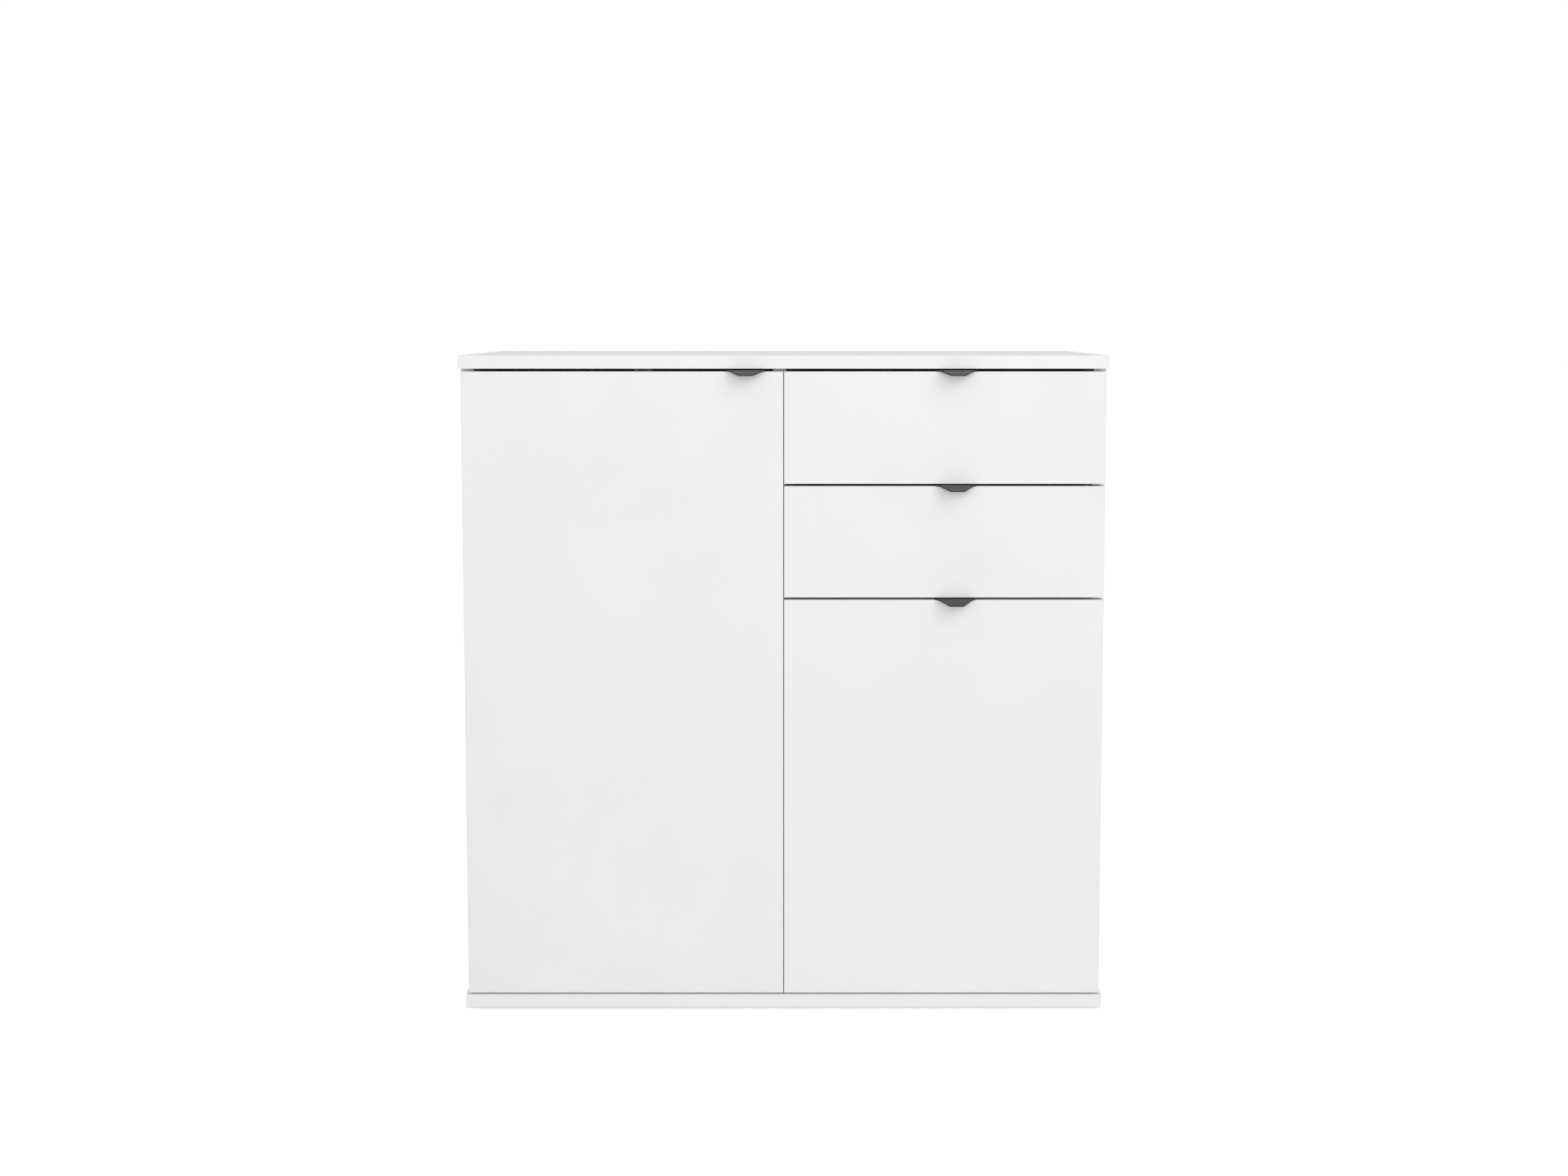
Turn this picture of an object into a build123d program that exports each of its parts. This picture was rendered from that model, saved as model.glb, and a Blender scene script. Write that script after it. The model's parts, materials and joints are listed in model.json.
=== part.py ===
from build123d import *
import math
import os

# White sideboard: one tall door on the left, two drawers over a small door on the right.
# Millimetres. +Z up, the fronts face -Y, +X is to the right seen from the front.
# The origin lies on the floor, under the middle of the whole outline.

# ---- driving dimensions: the carcass and the fronts ---------------------------------------
WIDTH = 800.0                # top and base boards, side to side
DEPTH = 350.0                # top and base boards, front to back
BODY_HEIGHT = 820.0          # underside of the base board to the top surface
BOARD = 16.0                 # chipboard thickness of the carcass and of every front
GLIDE = 3.0                  # nail-in floor glides lift the base board off the floor
FRONT_INSET = 20.0           # side panels stop this far behind the board fronts
FRONT_GAP = 2.0              # air between the carcass front edges and the back of the fronts
BACK_SHEET = 3.0             # hardboard back
TOP_GAP = 3.5                # between the fronts and the top board
BASE_GAP = 1.8               # between the doors and the base board
ROW_GAP = 3.0                # between two fronts that stand one over the other
CENTRE_GAP = 0.9             # between the left door and the right-hand column
SIDE_REVEAL = 3.0            # fronts stop this far inside the side panels' outer faces
DRAWER_FRONT_HEIGHT = 138.5
DIVIDER_LEFT = -13.0         # left face of the centre divider
SHELF_DROP = 7.5             # fixed shelf's top below the small door's top
EDGE_ROUND = 0.8             # soft corner of the edge banding

# ---- edge grips ---------------------------------------------------------------------------
GRIP_REACH = 23.0            # how far an edge grip stands out in front of its panel
GRIP_WIDTH = 50.0
GRIP_TIP_WIDTH = 17.0
GRIP_SHEET = 1.6
GRIP_DROP = 5.0              # underside of the tip below the panel's top edge
GRIP_BEND = 6.0              # the plate stays level this far out before it slopes down
GRIP_FLANGE = 20.0           # leg that goes down the back of the panel
GRIP_SCREW_OFFSET = 15.0     # screws each side of the grip's middle
GRIP_SCREW_DROP = 12.0       # screws below the panel's top edge
LEFT_GRIP_X = -46.3
RIGHT_GRIP_X = 212.7

# ---- adjustable shelves -------------------------------------------------------------------
SHELF_CLEAR = 1.0            # side clearance of a loose shelf
SHELF_INSET = 30.0           # loose shelf's front edge behind the carcass front edges
SHELF_REAR_CLEAR = 4.0
LEFT_SHELF_HEIGHTS = (281.0, 545.0)            # undersides
RIGHT_SHELF_HEIGHT = 258.0
PIN_RADIUS = 2.5
PIN_IN_SIDE = 10.0           # peg inside a side panel
PIN_IN_DIVIDER = 5.0         # peg inside the divider, which has pins on both faces
PIN_OUT = 9.0                # peg under the shelf
PIN_FROM_SHELF_FRONT = 25.0
PIN_FROM_BACK = 40.0

# ---- cam fittings, dowels and screws ------------------------------------------------------
JOINT_RADIAL_CLEAR = 0.05    # drilled holes are this much larger than what goes in them
HOLE_END_CLEAR = 0.5         # fasteners stop this far from the bottom of a blind hole
JOINT_MARGIN = 50.0          # fittings from the edges of a panel, and dowels from the fittings
CAM_RADIUS = 7.5
CAM_DEPTH = 12.5
CAM_SETBACK = 24.0           # cam centre from the end of its panel
CAM_MOUTH_RADIUS = 3.4       # opening that takes the bolt's head
CAM_MOUTH_START = 8.5        # from this far in front of the lock's centre
CAM_MOUTH_LENGTH = 8.7
CAM_CROSS_LENGTH = 8.0       # screwdriver cross in the lock's face
CAM_CROSS_WIDTH = 1.4
CAM_CROSS_DEPTH = 1.2
BOLT_THREAD_RADIUS = 3.0
BOLT_THREAD_LENGTH = 11.0
BOLT_SHANK_RADIUS = 2.4
BOLT_BORE_RADIUS = 3.3       # bore for the bolt in the end of its panel
BOLT_HEAD_RADIUS = 3.0
BOLT_HEAD = 2.0
DOWEL_RADIUS = 4.0
DOWEL_DEPTH = 11.0           # in the face of a board
DOWEL_OUT = 19.0             # in the end of the joining board
SCREW_RADIUS = 1.6
SCREW_HEAD_RADIUS = 3.2
SCREW_HEAD = 1.0
SCREW_LENGTH = 11.0

# ---- hardboard back, nails, anti-tip angle, glides and bumpers ----------------------------
BACK_CLEAR = 0.5
FOLD_WIDTH = 1.5             # the back is one sheet, folded behind the divider
FOLD_DEPTH = 1.8
NAIL_RADIUS = 0.7
NAIL_LENGTH = 20.0
NAIL_HEAD_RADIUS = 2.2
NAIL_HEAD = 0.8
NAIL_ROWS = 6
NAIL_FROM_FOLD = 4.5
NAIL_MARGIN = 60.0           # first and last nails from the base and top boards
SHELF_NAIL_OFFSETS = (-110.0, 0.0, 110.0)
BRACKET_WIDTH = 30.0
BRACKET_LEG = 40.0
BRACKET_SHEET = 2.0
BRACKET_HOLE_RADIUS = 2.75
BRACKET_HOLE_DROP = 26.0     # wall screw's hole below the top board
BRACKET_SCREW_FROM_BACK = 24.0
BRACKET_SCREW_OFFSET = 9.0
BACK_HOLE_RADIUS = 4.0       # the wall screw goes on through the back
GLIDE_RADIUS = 9.0
GLIDE_CHAMFER = 0.8
GLIDE_NAIL_RADIUS = 1.0
GLIDE_NAIL = 10.0
GLIDE_FROM_SIDE = 20.0
GLIDE_FROM_FRONT = 18.0
GLIDE_FROM_REAR = 22.0
BUMPER_RADIUS = 4.0
BUMPER_HEIGHT = 1.8
BUMPER_CHAMFER = 0.6
BUMPER_FROM_EDGE = 1.0       # from the divider's left face to the bumper's rim
BUMPER_RAISE = 30.0          # lower bumper above the bottom of the fronts
BUMPER_DROP = 60.0           # upper bumper below the top of the fronts

# ---- cup hinges ---------------------------------------------------------------------------
# Hinge coordinates: "inward" from the side panel's inner face, "forward" from its front edge.
HINGE_MARGIN = 100.0         # cup centre from the ends of its door
PIVOT_INWARD = -7.4          # hinge pin, inside the cup, near the door's edge
PIVOT_FORWARD = 10.2
HINGE_PIN_RADIUS = 0.75
HINGE_PIN_HALF = 7.4
KNUCKLE_RADIUS = 1.3
KNUCKLE_HALF = 4.0
CUP_RADIUS = 17.5
CUP_WALL = 0.6
CUP_FLOOR = 0.8
CUP_DEPTH = 12.0
CUP_FROM_EDGE = 3.0          # door's edge to the cup's bore
CUP_FLANGE = 1.0
CUP_RIM = 0.7                # flange around the bore
CUP_WING = (2.5, 15.5)       # screw wings, inward from the cup's centre
CUP_WING_HALF = 30.0
CUP_SCREW_INWARD = 9.5       # wing screws, inward from the cup's centre
CUP_SCREW_Z = 24.0
EAR_INWARD = (-8.6, -5.9)    # two ears in the cup carry the pin
EAR_FORWARD = 8.7
EAR_THICK = 2.0
EAR_GAP = 0.3
ARM_SHEET = 1.6
ARM_HALF = 8.0
ARM_REAR = -56.0
ARM_NOSE = -4.0
ARM_INWARD = (9.6, 11.2)     # the arm's web, clear of the mounting plate's rib
CHEEK_INWARD = 3.0           # its folded cheeks reach back to here
CHEEK_NOSE = -8.0
NECK_LOW = 10.6              # gooseneck sheet, forward of the panel's front edge
NECK_TURN_INWARD = 4.0
NECK_TURN_RADIUS = 5.6
PLATE_CENTRE = -37.0         # system hole line behind the front edge
PLATE_SHEET = 2.0
PLATE_WING = 5.0             # half the depth of the screwed wings
PLATE_WING_HALF = 25.0
PLATE_RIB = 9.5
PLATE_RIB_HALF = 6.0
PLATE_NOSE = -14.0
PLATE_SCREW_Z = 16.0

# ---- drawer boxes -------------------------------------------------------------------------
BOX_LENGTH = 300.0
BOX_HEIGHT = 100.0
BOX_RAISE = 12.0             # box above the bottom of its front
BOX_BOARD = 12.0
BOTTOM_SHEET = 3.0
BOTTOM_RAISE = 9.0
GROOVE_DEPTH = 5.0
GROOVE_CLEAR = 0.1
CONFIRMAT_RADIUS = 2.5
CONFIRMAT_HEAD_RADIUS = 4.0
CONFIRMAT_HEAD = 2.0
CONFIRMAT_LENGTH = 36.0
CONFIRMAT_MARGIN = 20.0      # from the rear board's long edges
FRONT_PEG_DEPTH = 11.0       # pegs between the drawer front and the box sides
FRONT_PEG_MARGIN = 25.0

# ---- roller runners: distances counted from the carcass wall (0) to the box (RUNNER_SPACE) --
RUNNER_SPACE = 12.5
RUNNER_SHEET = 1.2
RUNNER_FRONT_CLEAR = 3.0     # fixed members start this far behind the carcass front edges
RUNNER_FLANGE_END = 10.2
CHANNEL_DROP = 7.0           # channel floor below the drawer member's flange
CHANNEL_HEIGHT = 17.5
CHANNEL_BEHIND_ROLLER = 4.0  # the channel's floor starts this far behind the front roller
NOSE_DROP = 5.0              # the web reaches this far below the front roller's centre
MEMBER_START = 1.0           # moving members start this far behind the drawer front
MEMBER_WEB = 12.0
MEMBER_FLANGE_START = 3.0
MEMBER_BEFORE_ROLLER = 2.0   # its flange ends this far in front of the rear roller
ROLLER_RADIUS = 8.0
ROLLER_WIDTH = 6.5
ROLLER_PLAY = 0.05
ROLLER_INSET = 12.0          # roller centres from the ends of their members
FIXED_ROLLER_START = 2.0
MOVING_ROLLER_START = 3.6
AXLE_RADIUS = 2.0
AXLE_HEAD_RADIUS = 3.2
AXLE_HEAD = 0.8
AXLE_HEAD_GAP = 0.1
FIXED_SCREW_ROWS = (37.0, 165.0, 265.0)        # behind the fixed member's front end
MOVING_SCREW_ROWS = (30.0, 140.0, 250.0)       # behind the drawer front
MOVING_SCREW_RAISE = 6.0

# ---- places worked out from them ----------------------------------------------------------
HALF = WIDTH / 2
GRIP_PAST_BOARDS = GRIP_REACH - (FRONT_INSET - FRONT_GAP - BOARD)
REAR_Y = (DEPTH + GRIP_PAST_BOARDS) / 2
BOARD_FRONT_Y = REAR_Y - DEPTH
EDGE_Y = BOARD_FRONT_Y + FRONT_INSET           # front edges of sides, divider and fixed shelf
PANEL_BACK_Y = EDGE_Y - FRONT_GAP              # back face of the doors and drawer fronts
PANEL_FRONT_Y = PANEL_BACK_Y - BOARD
SHEET_Y = REAR_Y - BACK_SHEET                  # front face of the hardboard back
BASE_TOP = GLIDE + BOARD
TOP_UNDER = GLIDE + BODY_HEIGHT - BOARD
INNER = HALF - BOARD                           # inner face of a side panel
DIVIDER_RIGHT = DIVIDER_LEFT + BOARD
DIVIDER_MID_X = DIVIDER_LEFT + BOARD / 2
LEFT_MID_X = (DIVIDER_LEFT - INNER) / 2
RIGHT_MID_X = (INNER + DIVIDER_RIGHT) / 2
FRONTS_LOW = BASE_TOP + BASE_GAP
FRONTS_HIGH = TOP_UNDER - TOP_GAP
FRONT_EDGE_X = HALF - SIDE_REVEAL
UPPER_FRONT_LOW = FRONTS_HIGH - DRAWER_FRONT_HEIGHT
LOWER_FRONT_HIGH = UPPER_FRONT_LOW - ROW_GAP
LOWER_FRONT_LOW = LOWER_FRONT_HIGH - DRAWER_FRONT_HEIGHT
DOOR_HIGH = LOWER_FRONT_LOW - ROW_GAP
FIXED_SHELF_TOP = DOOR_HIGH - SHELF_DROP
FIXED_SHELF_LOW = FIXED_SHELF_TOP - BOARD
FIXED_SHELF_MID_Z = (FIXED_SHELF_TOP + FIXED_SHELF_LOW) / 2

# Each upright: the middle of its thickness, and the way to the face that takes the cam locks.
UPRIGHTS = {
    "left_side_panel": (-INNER - BOARD / 2, 1),
    "right_side_panel": (INNER + BOARD / 2, -1),
    "centre_divider": (DIVIDER_MID_X, 1),
}
# Each door: the way from its hinges to its free edge, its height span and its grip.
DOORS = {
    "left": {
        "way": 1,
        "z": (FRONTS_LOW, FRONTS_HIGH),
        "free_x": -CENTRE_GAP / 2,
        "grip_x": LEFT_GRIP_X,
    },
    "right": {
        "way": -1,
        "z": (FRONTS_LOW, DOOR_HIGH),
        "free_x": CENTRE_GAP / 2,
        "grip_x": RIGHT_GRIP_X,
    },
}
# Each drawer: the height span of its front.
DRAWERS = {
    "upper": (UPPER_FRONT_LOW, FRONTS_HIGH),
    "lower": (LOWER_FRONT_LOW, LOWER_FRONT_HIGH),
}
# Each side of the drawer bay: its wall, and the way into the bay.
RUNNER_WALLS = {
    "left": (DIVIDER_RIGHT, 1),
    "right": (INNER, -1),
}
BOX_LEFT = DIVIDER_RIGHT + RUNNER_SPACE
BOX_RIGHT = INNER - RUNNER_SPACE
BOX_REAR_Y = PANEL_BACK_Y + BOX_LENGTH
RUNNER_FRONT_Y = EDGE_Y + RUNNER_FRONT_CLEAR
RUNNER_REAR_Y = RUNNER_FRONT_Y + BOX_LENGTH
FIXED_ROLLER_Y = RUNNER_FRONT_Y + ROLLER_INSET
MOVING_ROLLER_Y = BOX_REAR_Y - ROLLER_INSET
FIXED_ROLLER_END = FIXED_ROLLER_START + ROLLER_WIDTH
MOVING_ROLLER_END = MOVING_ROLLER_START + ROLLER_WIDTH

UP = (0, 0, 1)
DOWN = (0, 0, -1)
RIGHT = (1, 0, 0)
LEFT = (-1, 0, 0)
FORWARD = (0, -1, 0)
BACK = (0, 1, 0)

os.makedirs("parts", exist_ok=True)


# ---- shapes added to the active part ------------------------------------------------------
def save(piece, name):
    """Label a finished piece and write it as its own file."""
    piece.part.label = name
    export_step(piece.part, f"parts/{name}.step")


def span(a, b):
    """Two limits in rising order."""
    return (min(a, b), max(a, b))


def opposite(direction):
    """The same line, pointing the other way."""
    return tuple(-value for value in direction)


def moved(points, direction, distance):
    """The points shifted along a direction."""
    return [tuple(p + d * distance for p, d in zip(point, direction)) for point in points]


def block(x_span, y_span, z_span, mode=Mode.ADD):
    """A rectangular stretch of material between pairs of limits."""
    spans = (x_span, y_span, z_span)
    size = [high - low for low, high in spans]
    middle = [(high + low) / 2 for low, high in spans]
    with Locations(tuple(middle)):
        Box(*size, mode=mode)


def pegs(points, direction, radius, length, mode=Mode.ADD):
    """Round pegs, or drillings, that start at each point and run along one direction."""
    places = [Plane(origin=point, z_dir=direction) for point in points]
    with Locations(*places):
        Cylinder(radius, length, align=(Align.CENTER, Align.CENTER, Align.MIN), mode=mode)


def drill(points, direction, radius, length):
    """Holes with the usual joint clearance."""
    pegs(points, direction, radius + JOINT_RADIAL_CLEAR, length, mode=Mode.SUBTRACT)


def screws(points, direction):
    """Small pan-head screws: the point is under the head, the direction goes into the wood."""
    pegs(points, direction, SCREW_RADIUS, SCREW_LENGTH)
    pegs(points, opposite(direction), SCREW_HEAD_RADIUS, SCREW_HEAD)


def flush_heads(points, direction, clearance=0.0, mode=Mode.ADD):
    """Countersunk heads that end level with the sheet they hold."""
    places = [Plane(origin=point, z_dir=direction) for point in points]
    with Locations(*places):
        Cone(
            SCREW_HEAD_RADIUS + clearance,
            SCREW_RADIUS + clearance,
            GRIP_SHEET,
            align=(Align.CENTER, Align.CENTER, Align.MIN),
            mode=mode,
        )


def flush_screws(points, direction):
    """Countersunk screws: the point is on the sheet's face, the direction goes into the wood."""
    flush_heads(points, direction)
    pegs(points, direction, SCREW_RADIUS, SCREW_LENGTH)


def soften(piece):
    """Round the banded upright corners of a board."""
    fillet(piece.edges().filter_by(Axis.Z), radius=EDGE_ROUND)


# ---- where the carcass fittings stand -----------------------------------------------------
CAM_ROWS = (EDGE_Y + JOINT_MARGIN, SHEET_Y - JOINT_MARGIN)
DOWEL_ROWS = (CAM_ROWS[0] + JOINT_MARGIN, CAM_ROWS[1] - JOINT_MARGIN)
UPRIGHT_XS = [mid_x for mid_x, way in UPRIGHTS.values()]

TOP_BOLTS = [(x, y, TOP_UNDER) for x in UPRIGHT_XS for y in CAM_ROWS]
BASE_BOLTS = [(x, y, BASE_TOP) for x in UPRIGHT_XS for y in CAM_ROWS]
DIVIDER_BOLTS = [(DIVIDER_RIGHT, y, FIXED_SHELF_MID_Z) for y in CAM_ROWS]
SIDE_BOLTS = [(INNER, y, FIXED_SHELF_MID_Z) for y in CAM_ROWS]
TOP_DOWELS = [(x, y, TOP_UNDER) for x in UPRIGHT_XS for y in DOWEL_ROWS]
BASE_DOWELS = [(x, y, BASE_TOP) for x in UPRIGHT_XS for y in DOWEL_ROWS]
DIVIDER_DOWELS = [(DIVIDER_RIGHT, y, FIXED_SHELF_MID_Z) for y in DOWEL_ROWS]
SIDE_DOWELS = [(INNER, y, FIXED_SHELF_MID_Z) for y in DOWEL_ROWS]
# Each row: points on the face of a board, and the way into the board that joins it.
BOLT_SETS = ((TOP_BOLTS, DOWN), (BASE_BOLTS, UP), (DIVIDER_BOLTS, RIGHT), (SIDE_BOLTS, LEFT))
DOWEL_SETS = ((TOP_DOWELS, DOWN), (BASE_DOWELS, UP), (DIVIDER_DOWELS, RIGHT), (SIDE_DOWELS, LEFT))

NAIL_STEP = (TOP_UNDER - BASE_TOP - 2 * NAIL_MARGIN) / (NAIL_ROWS - 1)
NAIL_XS = {
    "left_side_panel": (-HALF + BOARD / 2,),
    "right_side_panel": (HALF - BOARD / 2,),
    "centre_divider": (DIVIDER_MID_X - NAIL_FROM_FOLD, DIVIDER_MID_X + NAIL_FROM_FOLD),
}
SHELF_NAILS = [(RIGHT_MID_X + offset, REAR_Y, FIXED_SHELF_MID_Z) for offset in SHELF_NAIL_OFFSETS]

BRACKET_HOLE = (LEFT_MID_X, SHEET_Y, TOP_UNDER - BRACKET_HOLE_DROP)
BRACKET_SCREW_POINTS = [
    (LEFT_MID_X + offset, SHEET_Y - BRACKET_SCREW_FROM_BACK, TOP_UNDER - BRACKET_SHEET)
    for offset in (-BRACKET_SCREW_OFFSET, BRACKET_SCREW_OFFSET)
]

GLIDE_XS = (-HALF + GLIDE_FROM_SIDE, DIVIDER_MID_X, HALF - GLIDE_FROM_SIDE)
GLIDE_ROWS = (EDGE_Y + GLIDE_FROM_FRONT, REAR_Y - GLIDE_FROM_REAR)
GLIDE_POINTS = [(x, y, GLIDE) for x in GLIDE_XS for y in GLIDE_ROWS]

BUMPER_X = DIVIDER_LEFT + BUMPER_FROM_EDGE + BUMPER_RADIUS
BUMPER_POINTS = [(BUMPER_X, EDGE_Y, z) for z in (FRONTS_LOW + BUMPER_RAISE, FRONTS_HIGH - BUMPER_DROP)]


def nail_points(upright_name):
    """Nail heads on the back, in a column behind an upright."""
    heights = [BASE_TOP + NAIL_MARGIN + NAIL_STEP * row for row in range(NAIL_ROWS)]
    return [(x, REAR_Y, z) for x in NAIL_XS[upright_name] for z in heights]


ALL_NAILS = SHELF_NAILS + [point for name in NAIL_XS for point in nail_points(name)]


def shelf_pin_points(wall_x, undersides):
    """Points on a wall under the ends of loose shelves, two per shelf."""
    rows = (EDGE_Y + SHELF_INSET + PIN_FROM_SHELF_FRONT, SHEET_Y - PIN_FROM_BACK)
    return [(wall_x, y, z - PIN_RADIUS) for y in rows for z in undersides]


LEFT_SIDE_PINS = shelf_pin_points(-INNER, LEFT_SHELF_HEIGHTS)
DIVIDER_LEFT_PINS = shelf_pin_points(DIVIDER_LEFT, LEFT_SHELF_HEIGHTS)
DIVIDER_RIGHT_PINS = shelf_pin_points(DIVIDER_RIGHT, (RIGHT_SHELF_HEIGHT,))
RIGHT_SIDE_PINS = shelf_pin_points(INNER, (RIGHT_SHELF_HEIGHT,))


# ---- where the hinges and grips stand -----------------------------------------------------
CUP_CENTRE_INWARD = -BOARD + SIDE_REVEAL + CUP_FROM_EDGE + CUP_RADIUS


def hinge_x(door, inward):
    """X of a hinge coordinate."""
    return DOORS[door]["way"] * (inward - INNER)


def hinge_y(forward):
    """Y of a hinge coordinate."""
    return EDGE_Y - forward


def hinge_heights(door):
    """The two hinge heights of a door."""
    low, high = DOORS[door]["z"]
    return (low + HINGE_MARGIN, high - HINGE_MARGIN)


def hinge_block(door, inward, forward, z_span):
    """A block given in hinge coordinates."""
    x_span = span(hinge_x(door, inward[0]), hinge_x(door, inward[1]))
    y_span = span(hinge_y(forward[0]), hinge_y(forward[1]))
    block(x_span, y_span, z_span)


def cup_centres(door):
    """Centres of the cup bores on the back face of a door."""
    x = hinge_x(door, CUP_CENTRE_INWARD)
    return [(x, PANEL_BACK_Y, z) for z in hinge_heights(door)]


def cup_screw_points(door):
    """Screws in the wings of the hinge cups."""
    x = hinge_x(door, CUP_CENTRE_INWARD + CUP_SCREW_INWARD)
    y = PANEL_BACK_Y + CUP_FLANGE
    return [(x, y, z + dz) for z in hinge_heights(door) for dz in (-CUP_SCREW_Z, CUP_SCREW_Z)]


def plate_screw_points(door):
    """Screws of the hinge mounting plates, in the side panel's inner face."""
    x = hinge_x(door, PLATE_SHEET)
    y = hinge_y(PLATE_CENTRE)
    return [(x, y, z + dz) for z in hinge_heights(door) for dz in (-PLATE_SCREW_Z, PLATE_SCREW_Z)]


def grip_screw_points(grip_x, top):
    """Two screws through the grip's back leg."""
    y = PANEL_BACK_Y + GRIP_SHEET
    z = top - GRIP_SCREW_DROP
    return [(grip_x + offset, y, z) for offset in (-GRIP_SCREW_OFFSET, GRIP_SCREW_OFFSET)]


# ---- where the drawer boxes and runners stand ---------------------------------------------
def across(side, distance):
    """X at a distance from the carcass wall into a drawer's runner space."""
    wall, way = RUNNER_WALLS[side]
    return wall + way * distance


def into_bay(side):
    """Direction from a carcass wall into the drawer bay."""
    return (RUNNER_WALLS[side][1], 0, 0)


def runner_block(side, distances, y_span, z_span):
    """A block in a runner space."""
    block(span(across(side, distances[0]), across(side, distances[1])), y_span, z_span)


def box_low(drawer):
    """Underside of a drawer box's sides."""
    return DRAWERS[drawer][0] + BOX_RAISE


def flange_low(drawer):
    """Underside of the drawer member's flange: it runs on the cabinet roller."""
    return box_low(drawer) - RUNNER_SHEET


def fixed_roller_z(drawer):
    """Centre height of the rollers on the cabinet members."""
    return flange_low(drawer) - ROLLER_RADIUS - ROLLER_PLAY


def moving_roller_z(drawer):
    """Centre height of the rollers on the drawer members."""
    return flange_low(drawer) - CHANNEL_DROP + ROLLER_RADIUS + ROLLER_PLAY


def fixed_screw_points(drawer, side):
    """Screws of a cabinet member, level with the inside of its channel."""
    x = across(side, RUNNER_SHEET)
    z = flange_low(drawer) + CHANNEL_HEIGHT / 2 - CHANNEL_DROP
    return [(x, RUNNER_FRONT_Y + offset, z) for offset in FIXED_SCREW_ROWS]


def moving_screw_points(drawer, side):
    """Screws of a drawer member, through its upright web."""
    x = across(side, RUNNER_SPACE - RUNNER_SHEET)
    z = flange_low(drawer) + MOVING_SCREW_RAISE
    return [(x, PANEL_BACK_Y + offset, z) for offset in MOVING_SCREW_ROWS]


def box_heights(drawer):
    """Limits of the box sides, bottom sheet, its groove and the rear board of a drawer."""
    low = box_low(drawer)
    sheet = (low + BOTTOM_RAISE, low + BOTTOM_RAISE + BOTTOM_SHEET)
    return {
        "side": (low, low + BOX_HEIGHT),
        "sheet": sheet,
        "groove": (sheet[0] - GROOVE_CLEAR, sheet[1] + GROOVE_CLEAR),
        "rear": (sheet[1] + GROOVE_CLEAR, low + BOX_HEIGHT),
    }


def confirmat_points(drawer, side):
    """Screws through a box side into the end of the rear board."""
    low, high = box_heights(drawer)["rear"]
    x = across(side, RUNNER_SPACE)
    y = BOX_REAR_Y - BOX_BOARD / 2
    return [(x, y, z) for z in (low + CONFIRMAT_MARGIN, high - CONFIRMAT_MARGIN)]


def front_peg_points(drawer, side):
    """Pegs between the drawer front and the front end of a box side."""
    low, high = box_heights(drawer)["side"]
    x = across(side, RUNNER_SPACE + BOX_BOARD / 2)
    return [(x, PANEL_BACK_Y, z) for z in (low + FRONT_PEG_MARGIN, high - FRONT_PEG_MARGIN)]


# ---- carcass boards -----------------------------------------------------------------------
def drill_board_face(bolts, dowels, into_joining):
    """Face drillings of a board: cam bolt threads, and the dowels beside them."""
    drill(bolts, opposite(into_joining), BOLT_THREAD_RADIUS, BOLT_THREAD_LENGTH)
    drill(dowels, opposite(into_joining), DOWEL_RADIUS, DOWEL_DEPTH)


def drill_board_end(bolts, dowels, into_joining):
    """End drillings of a joining board: the cam bolts' bores and the dowels' holes."""
    drill(bolts, into_joining, BOLT_BORE_RADIUS, CAM_SETBACK)
    drill(dowels, into_joining, DOWEL_RADIUS, DOWEL_OUT)


def upright(name):
    """A full-height panel with the drillings at both of its ends and its cam lock bores."""
    mid_x, way = UPRIGHTS[name]
    block((mid_x - BOARD / 2, mid_x + BOARD / 2), (EDGE_Y, SHEET_Y), (BASE_TOP, TOP_UNDER))
    lock_face = mid_x + way * BOARD / 2
    for z, direction in ((TOP_UNDER, DOWN), (BASE_TOP, UP)):
        bolts = [(mid_x, y, z) for y in CAM_ROWS]
        drill_board_end(bolts, [(mid_x, y, z) for y in DOWEL_ROWS], direction)
        locks = [(lock_face, y, z + direction[2] * CAM_SETBACK) for y in CAM_ROWS]
        drill(locks, (-way, 0, 0), CAM_RADIUS, CAM_DEPTH)
    drill(nail_points(name), FORWARD, NAIL_RADIUS, NAIL_LENGTH)


def loose_shelf(x_span, underside):
    """An adjustable shelf that rests on four pins."""
    x_limits = (x_span[0] + SHELF_CLEAR, x_span[1] - SHELF_CLEAR)
    y_limits = (EDGE_Y + SHELF_INSET, SHEET_Y - SHELF_REAR_CLEAR)
    block(x_limits, y_limits, (underside, underside + BOARD))


with BuildPart() as top_panel:
    block((-HALF, HALF), (BOARD_FRONT_Y, REAR_Y), (TOP_UNDER, TOP_UNDER + BOARD))
    soften(top_panel)
    drill_board_face(TOP_BOLTS, TOP_DOWELS, DOWN)
    drill(BRACKET_SCREW_POINTS, UP, SCREW_RADIUS, SCREW_LENGTH)
save(top_panel, "top_panel")

with BuildPart() as base_panel:
    block((-HALF, HALF), (BOARD_FRONT_Y, REAR_Y), (GLIDE, BASE_TOP))
    soften(base_panel)
    drill_board_face(BASE_BOLTS, BASE_DOWELS, UP)
    drill(GLIDE_POINTS, UP, GLIDE_NAIL_RADIUS, GLIDE_NAIL)
save(base_panel, "base_panel")

with BuildPart() as left_side_panel:
    upright("left_side_panel")
    drill(LEFT_SIDE_PINS, LEFT, PIN_RADIUS, PIN_IN_SIDE)
    drill(plate_screw_points("left"), LEFT, SCREW_RADIUS, SCREW_LENGTH)
save(left_side_panel, "left_side_panel")

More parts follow.
